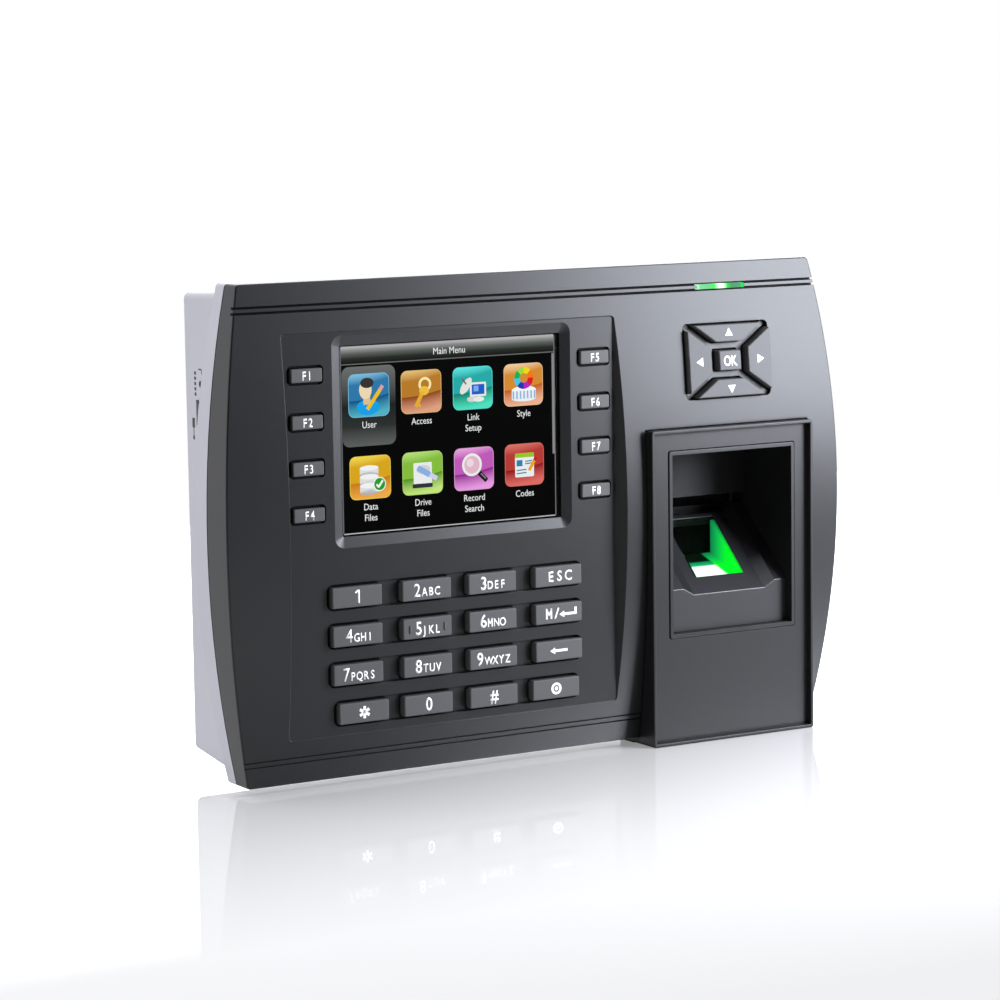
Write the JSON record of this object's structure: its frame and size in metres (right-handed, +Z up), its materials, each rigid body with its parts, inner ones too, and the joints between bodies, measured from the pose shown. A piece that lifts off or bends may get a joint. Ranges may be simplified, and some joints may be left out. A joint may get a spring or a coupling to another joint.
{
  "type": "fingerprint scanner terminal",
  "caption": "Wall-hung fingerprint terminal with a colour screen, number, function and direction keys, and a recessed finger sensor in a raised cover.",
  "frame": {"origin": "middle of the four wall-bracket holes, on the back face that lies against the wall", "axes": "+X to the right seen from the front, +Y into the wall, +Z up; the front faces -Y"},
  "size_m": [0.208, 0.0465, 0.1432],
  "materials": {
    "casing_plastic": "satin, fine grain",
    "guide_plastic": "satin, fine grain",
    "shell_plastic": "satin",
    "key_plastic": "satin, printed legends",
    "screen_window": "clear gloss",
    "lcd_glass": "gloss",
    "stamped_steel": "plain",
    "screw_steel": "zinc plated",
    "keymat_rubber": "matt",
    "circuit_board": "satin solder mask",
    "light_pipe": "clear green, lit",
    "sensor_glass": "polished",
    "sensor_light": "lit green",
    "black_plastic": "matt",
    "terminal_plastic": "satin"
  },
  "bodies": {
    "casing": {"backup_battery": "stamped_steel", "board_screws": "screw_steel", "buzzer": "black_plastic", "casing_screws": "screw_steel", "direction_board": "circuit_board", "direction_keymat": "keymat_rubber", "display_window": "screen_window", "finger_guide": "guide_plastic", "finger_rest": "guide_plastic", "fingerprint_cover": "casing_plastic", "front_casing": "casing_plastic", "function_keymats": "keymat_rubber", "keypad_board": "circuit_board", "lcd_frame": "stamped_steel", "lcd_panel": "lcd_glass", "main_board": "circuit_board", "network_socket": "black_plastic", "number_keymat": "keymat_rubber", "power_socket": "black_plastic", "rear_shell": "shell_plastic", "reset_switch": "black_plastic", "sensor_board": "circuit_board", "sensor_camera": "black_plastic", "sensor_housing": "black_plastic", "sensor_light": "sensor_light", "sensor_window": "sensor_glass", "status_light_board": "circuit_board", "status_light_pipe": "light_pipe", "terminal_block": "terminal_plastic", "usb_socket": "stamped_steel"},
    "key_0": {"key_0": "key_plastic"},
    "key_1": {"key_1": "key_plastic"},
    "key_2": {"key_2": "key_plastic"},
    "key_3": {"key_3": "key_plastic"},
    "key_4": {"key_4": "key_plastic"},
    "key_5": {"key_5": "key_plastic"},
    "key_6": {"key_6": "key_plastic"},
    "key_7": {"key_7": "key_plastic"},
    "key_8": {"key_8": "key_plastic"},
    "key_9": {"key_9": "key_plastic"},
    "key_back": {"key_back": "key_plastic"},
    "key_down": {"key_down": "key_plastic"},
    "key_escape": {"key_escape": "key_plastic"},
    "key_f1": {"key_f1": "key_plastic"},
    "key_f2": {"key_f2": "key_plastic"},
    "key_f3": {"key_f3": "key_plastic"},
    "key_f4": {"key_f4": "key_plastic"},
    "key_f5": {"key_f5": "key_plastic"},
    "key_f6": {"key_f6": "key_plastic"},
    "key_f7": {"key_f7": "key_plastic"},
    "key_f8": {"key_f8": "key_plastic"},
    "key_hash": {"key_hash": "key_plastic"},
    "key_left": {"key_left": "key_plastic"},
    "key_menu": {"key_menu": "key_plastic"},
    "key_ok": {"key_ok": "key_plastic"},
    "key_right": {"key_right": "key_plastic"},
    "key_round": {"key_round": "key_plastic"},
    "key_star": {"key_star": "key_plastic"},
    "key_up": {"key_up": "key_plastic"},
    "reset_plunger": {"reset_plunger": "black_plastic"}
  },
  "joints": [
    {"name": "key_0_press", "type": "slide", "parent": "casing", "child": "key_0", "axis": [0, 1, 0], "range_m": [0, 0.001], "stiffness_N_per_m": 600, "springref_m": -0.001},
    {"name": "key_1_press", "type": "slide", "parent": "casing", "child": "key_1", "axis": [0, 1, 0], "range_m": [0, 0.001], "stiffness_N_per_m": 600, "springref_m": -0.001},
    {"name": "key_2_press", "type": "slide", "parent": "casing", "child": "key_2", "axis": [0, 1, 0], "range_m": [0, 0.001], "stiffness_N_per_m": 600, "springref_m": -0.001},
    {"name": "key_3_press", "type": "slide", "parent": "casing", "child": "key_3", "axis": [0, 1, 0], "range_m": [0, 0.001], "stiffness_N_per_m": 600, "springref_m": -0.001},
    {"name": "key_4_press", "type": "slide", "parent": "casing", "child": "key_4", "axis": [0, 1, 0], "range_m": [0, 0.001], "stiffness_N_per_m": 600, "springref_m": -0.001},
    {"name": "key_5_press", "type": "slide", "parent": "casing", "child": "key_5", "axis": [0, 1, 0], "range_m": [0, 0.001], "stiffness_N_per_m": 600, "springref_m": -0.001},
    {"name": "key_6_press", "type": "slide", "parent": "casing", "child": "key_6", "axis": [0, 1, 0], "range_m": [0, 0.001], "stiffness_N_per_m": 600, "springref_m": -0.001},
    {"name": "key_7_press", "type": "slide", "parent": "casing", "child": "key_7", "axis": [0, 1, 0], "range_m": [0, 0.001], "stiffness_N_per_m": 600, "springref_m": -0.001},
    {"name": "key_8_press", "type": "slide", "parent": "casing", "child": "key_8", "axis": [0, 1, 0], "range_m": [0, 0.001], "stiffness_N_per_m": 600, "springref_m": -0.001},
    {"name": "key_9_press", "type": "slide", "parent": "casing", "child": "key_9", "axis": [0, 1, 0], "range_m": [0, 0.001], "stiffness_N_per_m": 600, "springref_m": -0.001},
    {"name": "key_back_press", "type": "slide", "parent": "casing", "child": "key_back", "axis": [0, 1, 0], "range_m": [0, 0.001], "stiffness_N_per_m": 600, "springref_m": -0.001},
    {"name": "key_down_press", "type": "slide", "parent": "casing", "child": "key_down", "axis": [0, 1, 0], "range_m": [0, 0.001], "stiffness_N_per_m": 600, "springref_m": -0.001},
    {"name": "key_escape_press", "type": "slide", "parent": "casing", "child": "key_escape", "axis": [0, 1, 0], "range_m": [0, 0.001], "stiffness_N_per_m": 600, "springref_m": -0.001},
    {"name": "key_f1_press", "type": "slide", "parent": "casing", "child": "key_f1", "axis": [0, 1, 0], "range_m": [0, 0.001], "stiffness_N_per_m": 600, "springref_m": -0.001},
    {"name": "key_f2_press", "type": "slide", "parent": "casing", "child": "key_f2", "axis": [0, 1, 0], "range_m": [0, 0.001], "stiffness_N_per_m": 600, "springref_m": -0.001},
    {"name": "key_f3_press", "type": "slide", "parent": "casing", "child": "key_f3", "axis": [0, 1, 0], "range_m": [0, 0.001], "stiffness_N_per_m": 600, "springref_m": -0.001},
    {"name": "key_f4_press", "type": "slide", "parent": "casing", "child": "key_f4", "axis": [0, 1, 0], "range_m": [0, 0.001], "stiffness_N_per_m": 600, "springref_m": -0.001},
    {"name": "key_f5_press", "type": "slide", "parent": "casing", "child": "key_f5", "axis": [0, 1, 0], "range_m": [0, 0.001], "stiffness_N_per_m": 600, "springref_m": -0.001},
    {"name": "key_f6_press", "type": "slide", "parent": "casing", "child": "key_f6", "axis": [0, 1, 0], "range_m": [0, 0.001], "stiffness_N_per_m": 600, "springref_m": -0.001},
    {"name": "key_f7_press", "type": "slide", "parent": "casing", "child": "key_f7", "axis": [0, 1, 0], "range_m": [0, 0.001], "stiffness_N_per_m": 600, "springref_m": -0.001},
    {"name": "key_f8_press", "type": "slide", "parent": "casing", "child": "key_f8", "axis": [0, 1, 0], "range_m": [0, 0.001], "stiffness_N_per_m": 600, "springref_m": -0.001},
    {"name": "key_hash_press", "type": "slide", "parent": "casing", "child": "key_hash", "axis": [0, 1, 0], "range_m": [0, 0.001], "stiffness_N_per_m": 600, "springref_m": -0.001},
    {"name": "key_left_press", "type": "slide", "parent": "casing", "child": "key_left", "axis": [0, 1, 0], "range_m": [0, 0.001], "stiffness_N_per_m": 600, "springref_m": -0.001},
    {"name": "key_menu_press", "type": "slide", "parent": "casing", "child": "key_menu", "axis": [0, 1, 0], "range_m": [0, 0.001], "stiffness_N_per_m": 600, "springref_m": -0.001},
    {"name": "key_ok_press", "type": "slide", "parent": "casing", "child": "key_ok", "axis": [0, 1, 0], "range_m": [0, 0.001], "stiffness_N_per_m": 600, "springref_m": -0.001},
    {"name": "key_right_press", "type": "slide", "parent": "casing", "child": "key_right", "axis": [0, 1, 0], "range_m": [0, 0.001], "stiffness_N_per_m": 600, "springref_m": -0.001},
    {"name": "key_round_press", "type": "slide", "parent": "casing", "child": "key_round", "axis": [0, 1, 0], "range_m": [0, 0.001], "stiffness_N_per_m": 600, "springref_m": -0.001},
    {"name": "key_star_press", "type": "slide", "parent": "casing", "child": "key_star", "axis": [0, 1, 0], "range_m": [0, 0.001], "stiffness_N_per_m": 600, "springref_m": -0.001},
    {"name": "key_up_press", "type": "slide", "parent": "casing", "child": "key_up", "axis": [0, 1, 0], "range_m": [0, 0.001], "stiffness_N_per_m": 600, "springref_m": -0.001},
    {"name": "reset_press", "type": "slide", "parent": "casing", "child": "reset_plunger", "axis": [1, 0, 0], "range_m": [0, 0.0003], "stiffness_N_per_m": 1500, "springref_m": -0.0005}
  ]
}
